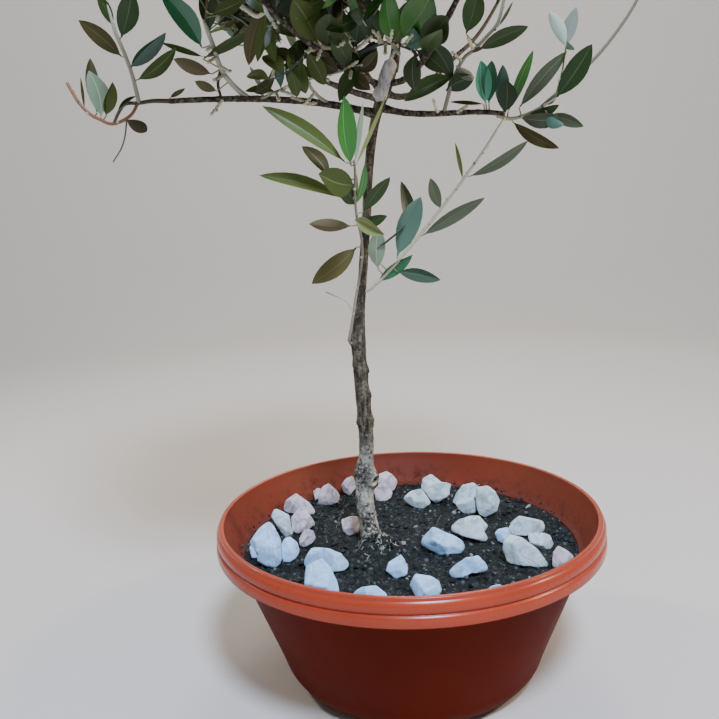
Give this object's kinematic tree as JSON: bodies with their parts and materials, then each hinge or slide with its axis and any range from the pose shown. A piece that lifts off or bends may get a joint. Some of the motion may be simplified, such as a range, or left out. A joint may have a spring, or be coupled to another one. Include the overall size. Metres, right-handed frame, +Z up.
{
  "type": "potted olive bonsai",
  "caption": "Small standard olive tree with a domed crown on a slender trunk, standing in a wide plastic bowl of soil dressed with white marble chips.",
  "frame": {"origin": "centre of the bowl's flat underside", "axes": "+Z up, -Y to the front of the plant as pictured, +X to the right"},
  "size_m": [0.4258, 0.3423, 0.685],
  "materials": {
    "pot": "terracotta-coloured injection-moulded plastic, smooth and softly glossy",
    "soil": "dark crumbly potting soil",
    "marble": "broken white marble, matt and faintly veined",
    "bark": "grey-brown young olive bark with fine fissures, knots and bud scars",
    "foliage": "leathery olive leaves, dark glossy green above and grey-green below"
  },
  "bodies": {
    "root": {"pot": "pot", "soil": "soil", "stone_rosy": "marble", "stone_back_small": "marble", "stone_behind_trunk_far": "marble", "stone_behind_trunk_near": "marble", "stone_trunk_side": "marble", "stone_left_far": "marble", "stone_left_middle": "marble", "stone_left_tall": "marble", "stone_left_big": "marble", "stone_left_front": "marble", "stone_left_round": "marble", "stone_left_low": "marble", "stone_front_pair_back": "marble", "stone_front_pair_near": "marble", "stone_front_hidden": "marble", "stone_front_single": "marble", "stone_back_low": "marble", "stone_back_tall": "marble", "stone_cluster_back": "marble", "stone_cluster_right": "marble", "stone_cluster_front": "marble", "stone_middle_right": "marble", "stone_middle_big": "marble", "stone_middle_front": "marble", "stone_front_round": "marble", "stone_front_edge": "marble", "stone_right_top": "marble", "stone_right_side": "marble", "stone_right_big": "marble", "stone_right_edge": "marble", "trunk": "bark", "bough_left": "bark", "bough_right": "bark", "bough_back_left": "bark", "bough_back_right": "bark", "bough_front_left": "bark", "bough_front_right": "bark", "bough_leader": "bark", "bough_high_left": "bark", "bough_high_right": "bark", "bough_high_front": "bark", "bough_high_back": "bark", "mass_left_tip": "foliage", "mass_left_inner": "foliage", "mass_right_tip": "foliage", "mass_right_inner": "foliage", "mass_back_left": "foliage", "mass_back_right": "foliage", "mass_front_left": "foliage", "mass_front_right": "foliage", "mass_centre": "foliage", "mass_high_left": "foliage", "mass_high_right": "foliage", "mass_high_front": "foliage", "mass_high_back": "foliage", "mass_top": "foliage", "shoot_front": "foliage", "shoot_right": "foliage"}
  },
  "joints": []
}
